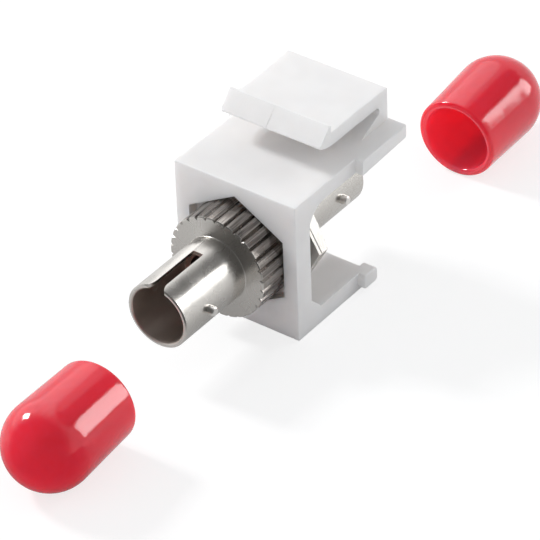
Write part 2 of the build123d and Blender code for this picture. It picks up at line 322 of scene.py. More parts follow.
@dataclass(frozen=True)
class MouldedPlastic:
    """Satin moulded plastic with fine grain and faint mottling."""

    name: str
    slot: str
    base: Colour
    shade: Colour
    roughness: float = 0.38
    translucence: float = 0.5
    depth_seen: float = 1.6 * MM
    grain_scale: float = 9000.0
    grain_depth: float = 0.006 * MM
    bump_share: float = 0.35
    patch_range: Span = (0.3, 0.7)
    reflectance: float = 0.45
    light_reach: Colour = (1.0, 0.93, 0.87)
    lip_from: float = 0.0
    lip_to: float = 0.0
    lip_edge: float = 0.3 * MM
    lip_grain_share: float = 0.75
    lip_grain_factor: float = 12.0

    def build(self) -> bpy.types.Material:
        """Make the material.

        Returns:
            The material, with coarser grain above lip_from where that is set.
        """
        desk = FinishDesk(self.name)
        grain = desk.group(GRAIN, Scale=self.grain_scale)
        patches = desk.smooth_range(grain.outputs["Patches"], *self.patch_range)
        colour = desk.blend(patches, self.shade, self.base)
        depth = grain.outputs["Grain"]
        if self.lip_to > 0.0:
            split = desk.parts(desk.place_on_piece)
            above = desk.smooth_range(split["Z"], self.lip_from, self.lip_from + self.lip_edge)
            before = desk.smooth_range(split["Y"], self.lip_to, self.lip_to - self.lip_edge)
            coarse = desk.noise(desk.place_on_piece, self.grain_scale * self.lip_grain_share)
            raised = desk.maths("MULTIPLY", coarse, desk.maths("MULTIPLY", above, before))
            depth = desk.maths("MULTIPLY_ADD", raised, self.lip_grain_factor, depth)
        desk.set(Base_Color=colour, Roughness=self.roughness, Specular_IOR_Level=self.reflectance)
        desk.set(
            Subsurface_Weight=self.translucence, Subsurface_Radius=self.light_reach,
            Subsurface_Scale=self.depth_seen,
        )
        desk.bump(depth, strength=self.bump_share, distance=self.grain_depth)
        return desk.material


@dataclass(frozen=True)
class PlatedMetal:
    """Nickel plate over turned brass: fine lines round the axis, fine speckle, dull inside the bore, and
    painted shade that darkens the knurled band.
    """

    name: str
    slot: str
    base: Colour
    shade: Colour
    bore: Colour
    bore_radius: float
    # Painted shade: the knurled band takes these darker colours, with darker streaks along the axis.
    knurl: Colour
    painted_knurl_streak: Colour
    streak_scale: float = 7000.0
    streak_stretch: float = 0.03
    streak_range: Span = (0.36, 0.64)
    knurl_radius: Span = (5.1 * MM, 5.2 * MM)
    knurl_front: Span = (-3.2 * MM, -3.05 * MM)
    knurl_rear: Span = (1.25 * MM, 1.2 * MM)
    bore_edge: float = 0.12 * MM
    roughness: float = 0.2
    patch_dulling: float = 0.1
    bore_dulling: float = 0.2
    patch_range: Span = (0.3, 0.75)
    lines_per_metre: float = 9000.0
    line_share: float = 0.8
    speckle_scale: float = 11000.0
    speckle_range: Span = (0.34, 0.62)
    grain_share: float = 0.6
    depth: float = 0.0025 * MM
    bump_share: float = 0.35

    def knurl_mask(self, desk: FinishDesk, radius: object) -> bpy.types.NodeSocket:
        """Return the mask of the knurled band, from the socket with the distance from the axis."""
        along = desk.parts(desk.place_on_piece)["Y"]
        behind_face = desk.smooth_range(along, *self.knurl_front)
        before_wall = desk.smooth_range(along, *self.knurl_rear)
        far_out = desk.smooth_range(radius, *self.knurl_radius)
        return desk.maths("MULTIPLY", far_out, desk.maths("MULTIPLY", behind_face, before_wall))

    def painted_knurl_shade(self, desk: FinishDesk) -> bpy.types.NodeSocket:
        """Return the knurled band's painted shade: a darker colour, with darker streaks drawn out along the
        axis.
        """
        drawn_out = desk.place(
            "ShaderNodeMapping", {"Vector": desk.place_on_piece, "Scale": (1.0, self.streak_stretch, 1.0)}
        )
        streak = desk.noise(drawn_out.outputs[0], self.streak_scale, detail=3.0)
        return desk.blend(desk.smooth_range(streak, *self.streak_range), self.painted_knurl_streak, self.knurl)

    def build(self) -> bpy.types.Material:
        """Make the material.

        Returns:
            The material, darker and duller nearer to the axis than bore_radius.
        """
        desk = FinishDesk(self.name)
        turned = desk.group(TURNED, Lines_per_Metre=self.lines_per_metre)
        grain = desk.group(GRAIN, Scale=self.speckle_scale)
        speckle = desk.smooth_range(grain.outputs["Grain"], *self.speckle_range)
        plate = desk.blend(speckle, self.shade, self.base)
        radius = turned.outputs["Radius"]
        outside = desk.smooth_range(radius, self.bore_radius, self.bore_radius + self.bore_edge)
        # Painted shade on the knurled band.
        plate = desk.blend(self.knurl_mask(desk, radius), plate, self.painted_knurl_shade(desk))
        desk.set(Base_Color=desk.blend(outside, self.bore, plate), Metallic=1.0)
        patches = desk.smooth_range(grain.outputs["Patches"], *self.patch_range)
        spread = desk.maths("MULTIPLY_ADD", patches, self.patch_dulling, self.roughness)
        inside = desk.maths("SUBTRACT", 1.0, outside)
        desk.set(Roughness=desk.maths("MULTIPLY_ADD", inside, self.bore_dulling, spread))
        lines = desk.maths("MULTIPLY", turned.outputs["Lines"], self.line_share)
        height = desk.maths("MULTIPLY_ADD", grain.outputs["Grain"], self.grain_share, lines)
        desk.bump(height, strength=self.bump_share, distance=self.depth)
        return desk.material


@dataclass(frozen=True)
class DippedVinyl:
    """Glossy red vinyl with a soft, slightly uneven skin, and painted light in its hollow."""

    name: str
    slot: str
    base: Colour
    shade: Colour
    roughness: float = 0.08
    ripple_scale: float = 380.0
    ripple_depth: float = 0.08 * MM
    ripple_dulling: float = 0.05
    bump_share: float = 0.35
    patch_range: Span = (0.25, 0.75)
    reflectance: float = 0.6
    translucence: float = 0.8
    light_reach: Colour = (1.0, 0.1, 0.1)
    depth_seen: float = 6.0 * MM
    # Painted light in the hollow: a lighter red and a faint painted glow stand in for light through the thin
    # wall.
    inside: Colour = (0.93, 0.055, 0.085)
    painted_glow_in_hollow: Colour = (0.05, 0.007, 0.013)
    wall_span: Span = (0.05 * MM, -0.1 * MM)

    def inside_mask(
        self, desk: FinishDesk, placement: Matrix, radius: float, side: float
    ) -> bpy.types.NodeSocket:
        """Return the mask of the cap's hollow.

        Args:
            desk: The material's desk.
            placement: Matrix from the cap's own frame, with its axis along +Z, to its place.
            radius: Radius of the middle of the wall.
            side: Length of the straight side, where the dome begins.

        Returns:
            The mask, 1 on the inner skin.
        """
        back = placement.inverted()
        own = desk.place("ShaderNodeMapping", {
            "Vector": desk.place_on_piece, "Location": back.to_translation(), "Rotation": back.to_euler(),
        })
        split = desk.parts(own.outputs[0])
        past_side = desk.maths("MAXIMUM", desk.maths("SUBTRACT", split["Z"], side), 0.0)
        spoke = desk.length(desk.joined(split["X"], split["Y"], past_side))
        return desk.smooth_range(spoke, *(radius + offset for offset in self.wall_span))

    def build(self, placement: Matrix, radius: float, side: float) -> bpy.types.Material:
        """Make the material of one cap.

        Args:
            placement: Matrix from the cap's own frame, with its axis along +Z, to its place.
            radius: Radius of the middle of the wall.
            side: Length of the straight side.

        Returns:
            The material, with painted light in the hollow: a lighter red and a faint painted glow that stand
            in for light through the thin wall.
        """
        desk = FinishDesk(self.name)
        grain = desk.group(GRAIN, Scale=self.ripple_scale)
        patches = desk.smooth_range(grain.outputs["Patches"], *self.patch_range)
        hollow = self.inside_mask(desk, placement, radius, side)
        # Painted light: the hollow takes a lighter red and a faint glow of its own.
        colour = desk.blend(hollow, desk.blend(patches, self.shade, self.base), self.inside)
        desk.set(Emission_Color=desk.blend(hollow, grey(0.0), self.painted_glow_in_hollow), Emission_Strength=1.0)
        spread = desk.maths("MULTIPLY_ADD", grain.outputs["Grain"], self.ripple_dulling, self.roughness)
        desk.set(Base_Color=colour, Roughness=spread, Specular_IOR_Level=self.reflectance)
        desk.set(
            Subsurface_Weight=self.translucence, Subsurface_Radius=self.light_reach,
            Subsurface_Scale=self.depth_seen,
        )
        desk.bump(grain.outputs["Grain"], strength=self.bump_share, distance=self.ripple_depth)
        return desk.material


@dataclass(frozen=True)
class GroundCeramic:
    """White ceramic, ground smooth, with faint grinding lines round the axis."""

    name: str
    slot: str
    base: Colour
    shade: Colour
    roughness: float = 0.18
    lines_per_metre: float = 16000.0
    bump_share: float = 0.2
    depth: float = 0.002 * MM

    def build(self) -> bpy.types.Material:
        """Return the material."""
        desk = FinishDesk(self.name)
        turned = desk.group(TURNED, Lines_per_Metre=self.lines_per_metre)
        colour = desk.blend(turned.outputs["Lines"], self.shade, self.base)
        desk.set(Base_Color=colour, Roughness=self.roughness)
        desk.bump(turned.outputs["Lines"], strength=self.bump_share, distance=self.depth)
        return desk.material


WHITE_MOULDING = MouldedPlastic(
    name="white_moulding", slot="white_moulding", base=(0.885, 0.867, 0.858), shade=(0.862, 0.843, 0.834),
    lip_from=10.4 * MM, lip_to=7.9 * MM,
)
HOLDER_PLASTIC = MouldedPlastic(
    name="holder_plastic", slot="holder_plastic", base=(0.02, 0.019, 0.018), shade=(0.014, 0.013, 0.012),
    roughness=0.5, translucence=0.0,
)
# The plate's knurl colours are painted shade, darker than the plate.
NICKEL_PLATE = PlatedMetal(
    name="nickel_plate", slot="plated_metal", base=(0.7, 0.677, 0.645), shade=(0.62, 0.597, 0.565),
    bore=(0.74, 0.68, 0.63), bore_radius=3.1 * MM,
    knurl=(0.4, 0.37, 0.345), painted_knurl_streak=(0.17, 0.155, 0.145), roughness=0.22,
)
LUG_STEEL = PlatedMetal(
    name="lug_steel", slot="lug_metal", base=(0.9, 0.88, 0.85), shade=(0.84, 0.82, 0.79),
    bore=(0.74, 0.68, 0.63), bore_radius=3.0 * MM,
    knurl=(0.9, 0.88, 0.85), painted_knurl_streak=(0.84, 0.82, 0.79), roughness=0.3,
)
RED_VINYL = DippedVinyl(
    name="red_vinyl", slot="red_vinyl", base=(0.95, 0.026, 0.055), shade=(0.92, 0.02, 0.047)
)
SLEEVE_CERAMIC = GroundCeramic(
    name="sleeve_ceramic", slot="sleeve_ceramic", base=(0.86, 0.86, 0.83), shade=(0.8, 0.8, 0.77)
)
Finish = MouldedPlastic | PlatedMetal | DippedVinyl | GroundCeramic


def dress(names: list[str], finish: Finish) -> None:
    """Give CAD nodes one finish.

    Args:
        names: The nodes' names.
        finish: The finish that they share.
    """
    material = finish.build()
    for name in names:
        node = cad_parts[name]
        node.data.materials.clear()
        node.data.materials.append(material)
        log.info("%s dressed in %s", name, finish.name)


def evaluated_copy(piece: bpy.types.Object) -> None:
    """Turn a piece's modifiers into its plain mesh and remove them; the piece keeps its name."""
    bpy.context.view_layer.update()
    graph = bpy.context.evaluated_depsgraph_get()
    finished = bpy.data.meshes.new_from_object(piece.evaluated_get(graph), depsgraph=graph)
    finished.name = piece.name
    piece.modifiers.clear()
    piece.data = finished


def smooth_shade(mesh: bpy.types.Mesh, sharp_angle: float) -> None:
    """Shade a mesh smooth, with normals of its own, except over edges sharper than sharp_angle degrees."""
    carried = mesh.attributes.get("custom_normal")
    if carried is not None:
        mesh.attributes.remove(carried)
    mesh.shade_smooth()
    mesh.set_sharp_from_angle(angle=radians(sharp_angle))


def set_inputs(modifier: bpy.types.Modifier, values: dict[str, float]) -> None:
    """Set a Geometry Nodes modifier's inputs by the identifiers of their sockets.

    Args:
        modifier: The modifier, with its node group in place.
        values: Values by the inputs' names.
    """
    for item in modifier.node_group.interface.items_tree:
        if item.in_out == "INPUT":
            modifier[item.identifier] = values[item.name]


def new_piece(name: str, data: bpy.types.ID) -> bpy.types.Object:
    """Return a new object of the scene that holds a mesh, a lamp or a camera, at the origin."""
    piece = bpy.data.objects.new(name, data)
    bpy.context.collection.objects.link(piece)
    return piece


def report(piece: bpy.types.Object, skin: bmesh.types.BMesh) -> None:
    """Log the faces of a finished piece and the open edges of its skin, then free the skin."""
    open_edges = sum(1 for edge in skin.edges if not edge.is_manifold)
    log.info("%s: %d faces, %d open edges", piece.name, len(piece.data.polygons), open_edges)
    skin.free()


class RevolveDesk(NodeDesk):
    """The node desk of a Geometry Nodes tree that wraps a grid round an axis."""

    def __init__(self, name: str, numbers: tuple[str, ...], counts: tuple[str, ...]) -> None:
        """Make the tree with its named inputs and its geometry output.

        Args:
            name: The tree's name.
            numbers: Names of the inputs that are lengths or shares.
            counts: Names of the inputs that are whole numbers.
        """
        tree = bpy.data.node_groups.new(name, "GeometryNodeTree")
        tree.is_modifier = True
        for labels, kind in ((numbers, "NodeSocketFloat"), (counts, "NodeSocketInt")):
            for label in labels:
                tree.interface.new_socket(label, in_out="INPUT", socket_type=kind)
        tree.interface.new_socket("Geometry", in_out="OUTPUT", socket_type="NodeSocketGeometry")
        super().__init__(tree)
        self.given = self.add("NodeGroupInput").outputs

    def sheet(self, columns: object, rows: object) -> tuple[bpy.types.NodeSocket, ...]:
        """Place the grid that is wrapped.

        Args:
            columns: Number of points round the axis.
            rows: Number of points along the section.

        Returns:
            The grid's mesh, the share of the way round and the share of the way along the section.
        """
        grid = self.place(
            "GeometryNodeMeshGrid", {"Size X": 1.0, "Size Y": 1.0, "Vertices X": columns, "Vertices Y": rows}
        )
        spot = self.parts(self.add("GeometryNodeInputPosition").outputs[0])
        return grid.outputs["Mesh"], self.maths("ADD", spot["X"], 0.5), self.maths("ADD", spot["Y"], 0.5)

    def put_out(self, mesh: object, position: object, weld: float, material: bpy.types.Material) -> None:
        """Wrap the grid, weld its seam, dress it and put it out.

        Args:
            mesh: The grid's mesh.
            position: Socket with the place of each point.
            weld: Distance under which points become one.
            material: The finish of the whole skin.
        """
        skin = self.place("GeometryNodeSetPosition", {"Geometry": mesh, "Position": position})
        welded = self.place("GeometryNodeMergeByDistance", {"Geometry": skin.outputs[0], "Distance": weld})
        smooth = self.place("GeometryNodeSetShadeSmooth", {"Geometry": welded.outputs[0]})
        real = self.place("GeometryNodeRealizeInstances", {"Geometry": smooth.outputs[0]})
        dressed = self.place("GeometryNodeSetMaterial", {"Geometry": real.outputs[0], "Material": material})
        self.place("NodeGroupOutput", {"Geometry": dressed.outputs[0]})

    def between(self, share: object, start: object, end: object) -> bpy.types.NodeSocket:
        """Return the value at share of the way from start to end."""
        node = self.add("ShaderNodeMix", data_type="FLOAT", clamp_factor=False)
        for index, value in ((0, share), (2, start), (3, end)):
            self.feed(node.inputs[index], value)
        return node.outputs[0]

    def pick(self, index: object, values: list[object]) -> bpy.types.NodeSocket:
        """Return the value that stands at index in a list of values."""
        node = self.add("GeometryNodeIndexSwitch", data_type="FLOAT")
        while len(node.index_switch_items) < len(values):
            node.index_switch_items.new()
        self.feed(node.inputs["Index"], index)
        for socket, value in zip(node.inputs[1:], values):
            self.feed(socket, value)
        return node.outputs[0]


@dataclass
class Moulding:
    """The C-shaped moulding with its latch arm, which is one piece of plastic that bends at its root."""

    joint_level: float = 9.675 * MM
    bend_from: float = 8.7 * MM
    bend_to: float = 10.15 * MM
    bend_cuts: int = 9
    rear_face: float = 17.2 * MM
    weld: float = 0.002 * MM
    smooth_angle: float = 35.0
    flat_angle: float = 0.05
    lip_foot: tuple[float, float] = (5.9 * MM, 10.8 * MM)
    lip_tip: tuple[float, float] = (7.6 * MM, 12.6 * MM)
    mark_half: float = 0.51 * MM
    mark_depth: float = 0.12 * MM
    mark_reach: float = 0.01 * MM
    mark_fill_low: float = 0.05 * MM
    mark_fill_high: float = 0.085 * MM

    def soften_mark(self, skin: bmesh.types.BMesh) -> None:
        """Fill the groove in the skin's lip until it is the faint mark that the photograph shows."""
        (foot_y, foot_z), (tip_y, tip_z) = self.lip_foot, self.lip_tip
        for corner in skin.verts:
            rise = (corner.co.z - foot_z) / (tip_z - foot_z)
            behind = corner.co.y - (foot_y + (tip_y - foot_y) * rise)
            if abs(corner.co.x) < self.mark_half and abs(behind - self.mark_depth) < self.mark_reach:
                corner.co.y -= self.mark_fill_low + (self.mark_fill_high - self.mark_fill_low) * rise

    def welded_nodes(self) -> bmesh.types.BMesh:
        """Join copies of the two CAD nodes into one closed skin.

        Returns:
            The skin, without the faces in which the two solids meet.
        """
        skin = bmesh.new()
        for name in ("housing", "latch_arm"):
            skin.from_mesh(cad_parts[name].data)
        bmesh.ops.remove_doubles(skin, verts=skin.verts, dist=self.weld)
        meeting = [
            face for face in skin.faces
            if all(abs(corner.co.z - self.joint_level) < self.weld for corner in face.verts)
        ]
        bmesh.ops.delete(skin, geom=meeting, context="FACES")
        bmesh.ops.remove_doubles(skin, verts=skin.verts, dist=self.weld)
        bmesh.ops.dissolve_limit(
            skin, angle_limit=radians(self.flat_angle), verts=skin.verts, edges=skin.edges
        )
        return skin

    def cut_for_bending(self, skin: bmesh.types.BMesh) -> None:
        """Cut the skin's root into level bands, so that a bend of the root can follow a curve."""
        for step in range(self.bend_cuts + 1):
            level = self.bend_from + (self.bend_to - self.bend_from) * step / self.bend_cuts
            bmesh.ops.bisect_plane(
                skin, geom=skin.verts[:] + skin.edges[:] + skin.faces[:], dist=self.weld,
                plane_co=(0, 0, level), plane_no=(0, 0, 1),
            )

    def build(self) -> bpy.types.Object:
        """Make the moulding's mesh: one skin from the housing and the latch arm.

        Returns:
            The piece.
        """
        skin = self.welded_nodes()
        self.soften_mark(skin)
        self.cut_for_bending(skin)
        mesh = bpy.data.meshes.new("moulding")
        skin.to_mesh(mesh)
        smooth_shade(mesh, self.smooth_angle)
        mesh.materials.append(WHITE_MOULDING.build())
        piece = new_piece("moulding", mesh)
        weighted = piece.modifiers.new("weighted_normals", "WEIGHTED_NORMAL")
        weighted.keep_sharp = True
        weighted.weight = 100
        evaluated_copy(piece)
        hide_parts("housing", "latch_arm")
        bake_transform(piece)
        report(piece, skin)
        return piece


@dataclass
class FrontShell:
    """The front shell: its barrel as the solid has it, and its head with narrow knurled grooves."""

    head_front: float = -3.25 * MM
    head_rear: float = 1.19 * MM
    head_radius: float = 5.6 * MM
    core_radius: float = 5.0 * MM
    barrel_radius: float = 3.5 * MM
    root_round: float = 0.1 * MM
    edge: float = 0.1 * MM
    overlap: float = 0.2 * MM
    plate_depth: float = 0.3 * MM
    sunk: float = 0.15 * MM
    sunk_rear: float = 1.5 * MM
    grooves: int = 30
    groove_depth: float = 0.28 * MM
    groove_share: float = 1 / 3
    groove_run_out: float = 2.5
    steps_per_groove: int = 12
    barrel_weld: float = 0.001 * MM
    head_weld: float = 0.0005 * MM
    smooth_angle: float = 25.0

    def barrel(self) -> bmesh.types.BMesh:
        """Return a welded copy of the CAD node, with its own head sunk under the new one."""
        shell = bmesh.new()
        shell.from_mesh(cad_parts["front_shell"].data)
        bmesh.ops.remove_doubles(shell, verts=shell.verts, dist=self.barrel_weld)
        for corner in shell.verts:
            x, y, z = corner.co
            radius = (x * x + z * z) ** 0.5
            if radius > self.core_radius and y < self.sunk_rear:
                shrink = self.core_radius / radius
                corner.co = (x * shrink, max(y, self.head_front + self.sunk), z * shrink)
        return shell

    def section(self) -> list[tuple[float, float, float]]:
        """Return the head's section as radius, place along the axis and share of the groove's depth."""
        front, rear, outside = self.head_front, self.head_rear, self.head_radius
        barrel, turn = self.barrel_radius, self.root_round
        fillet = [
            (barrel + turn * (1 - cos(a)), front - turn * (1 - sin(a)), 0.0)
            for a in (radians(22.5 * step) for step in range(5))
        ]
        inside, core = barrel - self.overlap, self.core_radius - self.edge
        return [
            (inside, front - turn, 0.0),
            *fillet,
            (outside - self.groove_run_out * self.groove_depth, front, 0.0),
            (outside - self.edge, front, 1.0),
            (outside, front + self.edge, 1.0),
            (outside, rear, 1.0),
            (core, rear, 0.0),
            (core, front + self.plate_depth, 0.0),
            (inside, front + self.plate_depth, 0.0),
            (inside, front - turn, 0.0),
        ]

    def tree(self, material: bpy.types.Material) -> bpy.types.NodeTree:
        """Make the node tree that wraps a grid round the head's section and sinks the grooves.

        Args:
            material: The finish of the head.

        Returns:
            The tree, with named inputs for the grooves.
        """
        desk = RevolveDesk("knurled_head", ("Groove Depth", "Groove Share"), ("Grooves", "Steps per Groove"))
        given, section = desk.given, self.section()
        steps = desk.maths("MULTIPLY", given["Grooves"], given["Steps per Groove"])
        mesh, turns, run = desk.sheet(desk.maths("ADD", steps, 1.0), len(section))
        row = desk.maths("ROUND", desk.maths("MULTIPLY", run, len(section) - 1.0))
        radius, along, share = (desk.pick(row, list(column)) for column in zip(*section))
        phase = desk.maths("FRACT", desk.maths("MULTIPLY", turns, given["Grooves"]))
        off_middle = desk.maths("ABSOLUTE", desk.maths("SUBTRACT", phase, 0.5))
        half_share = desk.maths("MULTIPLY", given["Groove Share"], 0.5)
        slope = desk.maths("SUBTRACT", 1.0, desk.maths("DIVIDE", off_middle, half_share))
        sink = desk.maths("MULTIPLY", desk.maths("MAXIMUM", slope, 0.0), share)
        true_radius = desk.maths("SUBTRACT", radius, desk.maths("MULTIPLY", sink, given["Groove Depth"]))
        angle = desk.maths("MULTIPLY", turns, 2 * pi)
        across = desk.maths("MULTIPLY", true_radius, desk.maths("COSINE", angle))
        height = desk.maths("MULTIPLY", true_radius, desk.maths("SINE", angle))
        desk.put_out(mesh, desk.joined(across, along, height), self.head_weld, material)
        return desk.tree

    def build(self) -> bpy.types.Object:
        """Make the head, join it to the barrel and let the piece stand for the node.

        Returns:
            The piece.
        """
        material = NICKEL_PLATE.build()
        piece = new_piece("front_shell_skin", bpy.data.meshes.new("front_shell_skin"))
        knurl = piece.modifiers.new("knurl", "NODES")
        knurl.node_group = self.tree(material)
        set_inputs(knurl, {
            "Groove Depth": self.groove_depth, "Groove Share": self.groove_share,
            "Grooves": self.grooves, "Steps per Groove": self.steps_per_groove,
        })
        evaluated_copy(piece)
        head = bmesh.new()
        head.from_mesh(piece.data)
        bmesh.ops.recalc_face_normals(head, faces=head.faces)
        whole = self.barrel()
        head_mesh = bpy.data.meshes.new("head")
        head.to_mesh(head_mesh)
        head.free()
        whole.from_mesh(head_mesh)
        whole.to_mesh(piece.data)
        bpy.data.meshes.remove(head_mesh)
        piece.data.materials.clear()
        piece.data.materials.append(material)
        for face in piece.data.polygons:
            face.material_index = 0
        smooth_shade(piece.data, self.smooth_angle)
        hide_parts("front_shell")
        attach(piece, "module")
        report(piece, whole)
        return piece


@dataclass
class Adapter:
    """The rest of the bayonet adapter: rear shell, washer, four lugs, and the holders and sleeve inside."""

    plated: list[str] = field(default_factory=lambda: ["rear_shell", "hex_washer"])
    holders: list[str] = field(default_factory=lambda: ["sleeve_holder_front", "sleeve_holder_rear"])

    def lugs(self) -> list[str]:
        """Return the names of the four bayonet lugs."""
        return [f"{end.name.lower()}_lug_{side}" for end in End for side in ("left", "right")]

    def build(self) -> None:
        """Dress every node of the adapter."""
        dress(self.plated, NICKEL_PLATE)
        dress(self.lugs(), LUG_STEEL)
        dress(self.holders, HOLDER_PLASTIC)
        dress(["alignment_sleeve"], SLEEVE_CERAMIC)


@dataclass
class DustCap:
    """A soft vinyl cap: a tube that widens a little to its domed end, lying along its side."""

    end: End
    place: tuple[float, float]
    yaw: float
    mouth_radius: float = 4.4 * MM
    dome_radius: float = 4.65 * MM
    side_length: float = 8.0 * MM
    wall: float = 0.8 * MM
    wobble: float = 0.012
    wobble_scale: float = 0.9
    seed: int = 3
    round_steps: int = 128
    bands: int = 5
    band_steps: int = 14
    last_band_short: float = 0.0001
    weld: float = 0.001 * MM

    @property
    def tilt(self) -> float:
        """Return the angle that the axis rises at, so that the widening side lies flat."""
        return atan2(self.dome_radius - self.mouth_radius, self.side_length)

    def placement(self) -> Matrix:
        """Return the matrix from the cap's own frame, with its axis along +Z, to its place."""
        turn = Matrix.Rotation(radians(self.yaw), 3, "Z")
        along = turn @ Vector((0.0, self.end.value * cos(self.tilt), sin(self.tilt)))
        side = turn @ Vector((1.0, 0.0, 0.0))
        rise = along.cross(side)
        level = FLOOR_LEVEL + self.mouth_radius * cos(self.tilt)
        rotation = Matrix((side, rise, along)).transposed().to_4x4()
        return Matrix.Translation((*self.place, level)) @ rotation

    def tree(self, material: bpy.types.Material) -> bpy.types.NodeTree:
        """Make the node tree that wraps a grid round the cap's section.

        The grid's second coordinate runs along the section: outer dome, outer side, rim,
        inner side and inner dome.

        Args:
            material: The finish of the whole cap.

        Returns:
            The tree, with a named input for each size.
        """
        sizes = ("Mouth Radius", "Dome Radius", "Side Length", "Wall")
        desk = RevolveDesk("dust_cap_skin", (*sizes, "Wobble"), ("Seed", "Round Steps", "Section Steps"))
        given = desk.given
        mesh, turns, way = desk.sheet(given["Round Steps"], given["Section Steps"])
        turn = desk.maths("MULTIPLY", turns, 2 * pi)
        run = desk.maths("MULTIPLY", way, self.bands - self.last_band_short)
        band = desk.maths("FLOOR", run)
        share = desk.maths("FRACT", run)
        quarter = desk.maths("MULTIPLY", share, pi / 2)
        half_turn = desk.maths("MULTIPLY", share, pi)
        sine, cosine = desk.maths("SINE", quarter), desk.maths("COSINE", quarter)
        mouth, dome, side, wall = (given[label] for label in sizes)
        half_wall = desk.maths("MULTIPLY", wall, 0.5)
        inner_mouth = desk.maths("SUBTRACT", mouth, wall)
        inner_dome = desk.maths("SUBTRACT", dome, wall)
        rim_middle = desk.maths("SUBTRACT", mouth, half_wall)
        rim_out = desk.maths("MULTIPLY", half_wall, desk.maths("COSINE", half_turn))
        rim_along = desk.maths("MULTIPLY", half_wall, desk.maths("SINE", half_turn))
        radius = desk.pick(band, [
            desk.maths("MULTIPLY", dome, sine),
            desk.between(share, dome, mouth),
            desk.maths("ADD", rim_middle, rim_out),
            desk.between(share, inner_mouth, inner_dome),
            desk.maths("MULTIPLY", inner_dome, cosine),
        ])
        height = desk.pick(band, [
            desk.maths("ADD", side, desk.maths("MULTIPLY", dome, cosine)),
            desk.between(share, side, half_wall),
            desk.maths("SUBTRACT", half_wall, rim_along),
            desk.between(share, half_wall, side),
            desk.maths("ADD", side, desk.maths("MULTIPLY", inner_dome, sine)),
        ])
        round_x, round_y = desk.maths("COSINE", turn), desk.maths("SINE", turn)
        uneven = desk.place("ShaderNodeTexNoise", {
            "Vector": desk.joined(round_x, round_y, given["Seed"]), "Scale": self.wobble_scale, "Detail": 0.0,
        })
        swing = desk.maths("MULTIPLY", desk.maths("SUBTRACT", uneven.outputs[0], 0.5), given["Wobble"])
        true_radius = desk.maths("MULTIPLY", radius, desk.maths("ADD", 1.0, swing))
        across = desk.maths("MULTIPLY", true_radius, round_x)
        rise = desk.maths("MULTIPLY", true_radius, round_y)
        desk.put_out(mesh, desk.joined(across, rise, height), self.weld, material)
        return desk.tree

    def build(self) -> bpy.types.Object:
        """Make the cap at its place on the floor.

        Returns:
            The piece.
        """
        node = f"{self.end.name.lower()}_dust_cap"
        material = RED_VINYL.build(self.placement(), self.mouth_radius - self.wall / 2, self.side_length)
        piece = new_piece(f"{self.end.name.lower()}_cap_skin", bpy.data.meshes.new(node))
        revolve = piece.modifiers.new("revolve", "NODES")
        revolve.node_group = self.tree(material)
        set_inputs(revolve, {
            "Mouth Radius": self.mouth_radius, "Dome Radius": self.dome_radius,
            "Side Length": self.side_length, "Wall": self.wall, "Wobble": self.wobble,
            "Seed": self.seed, "Round Steps": self.round_steps + 1,
            "Section Steps": self.bands * self.band_steps + 1,
        })
        evaluated_copy(piece)
        piece.data.transform(self.placement())
        skin = bmesh.new()
        skin.from_mesh(piece.data)
        bmesh.ops.recalc_face_normals(skin, faces=skin.faces)
        skin.to_mesh(piece.data)
        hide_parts(node)
        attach(piece, "module")
        report(piece, skin)
        return piece


@dataclass
class PhotoCamera:
    """The camera that sees the module as the photograph does."""

    azimuth: float = 37.674
    elevation: float = 36.708
    roll: float = -2.187
    distance: float = 400.0 * MM
    shift_right: float = -3.239 * MM
    shift_up: float = 1.882 * MM
    aim: tuple[float, float, float] = (0.0, 0.0, 0.05 * MM)
    focal_pixels: float = 4125.0
    frame_pixels: int = 540
    sensor: float = 36.0
    clip: Span = (0.01, 20.0)

    def build(self) -> bpy.types.Object:
        """Return the camera, handed to the scene."""
        a, e, r = radians(self.azimuth), radians(self.elevation), radians(self.roll)
        back = Vector((sin(a) * cos(e), -cos(a) * cos(e), sin(e)))
        level_right = Vector((cos(a), sin(a), 0.0))
        level_up = back.cross(level_right)
        right = cos(r) * level_right + sin(r) * level_up
        up = cos(r) * level_up - sin(r) * level_right
        data = bpy.data.cameras.new("photo_camera")
        data.sensor_width = self.sensor
        data.lens = self.focal_pixels / self.frame_pixels * self.sensor
        data.clip_start, data.clip_end = self.clip
        camera = new_piece("photo_camera", data)
        stand = Vector(self.aim) - self.shift_right * right - self.shift_up * up + self.distance * back
        camera.matrix_world = Matrix.Translation(stand) @ Matrix((right, up, back)).transposed().to_4x4()
        bpy.context.scene.camera = camera
        return camera


@dataclass(frozen=True)
class SoftBox:
    """A square studio lamp that looks at the module."""

    name: str
    azimuth: float
    elevation: float
    distance: float
    width: float
    height: float
    radiance: float
    mirrored: bool = True

    def build(self) -> None:
        """Make the lamp with the power that gives its face the stated radiance."""
        data = bpy.data.lights.new(self.name, "AREA")
        data.shape = "RECTANGLE"
        data.size = self.width
        data.size_y = self.height
        data.energy = self.radiance * pi * self.width * self.height
        lamp = new_piece(self.name, data)
        towards = direction(self.azimuth, self.elevation)
        lamp.location = self.distance * towards
        lamp.rotation_euler = towards.to_track_quat("Z", "Y").to_euler()
        lamp.visible_glossy = self.mirrored


@dataclass(frozen=True)
class Card:
    """A round patch of the dome, seen by gloss only, that is lighter or darker than the rest."""

    azimuth: float
    elevation: float
    spread: float
    share: float
    edge: float = 0.33

    def mask(self, desk: ShaderDesk, view: object) -> bpy.types.NodeSocket:
        """Return the mask of the card: 1 in the middle, 0 from spread degrees on."""
        near = desk.reach(view, direction(self.azimuth, self.elevation))
        inner = cos(radians(self.spread * (1.0 - self.edge)))
        return desk.smooth_range(near, cos(radians(self.spread)), inner)


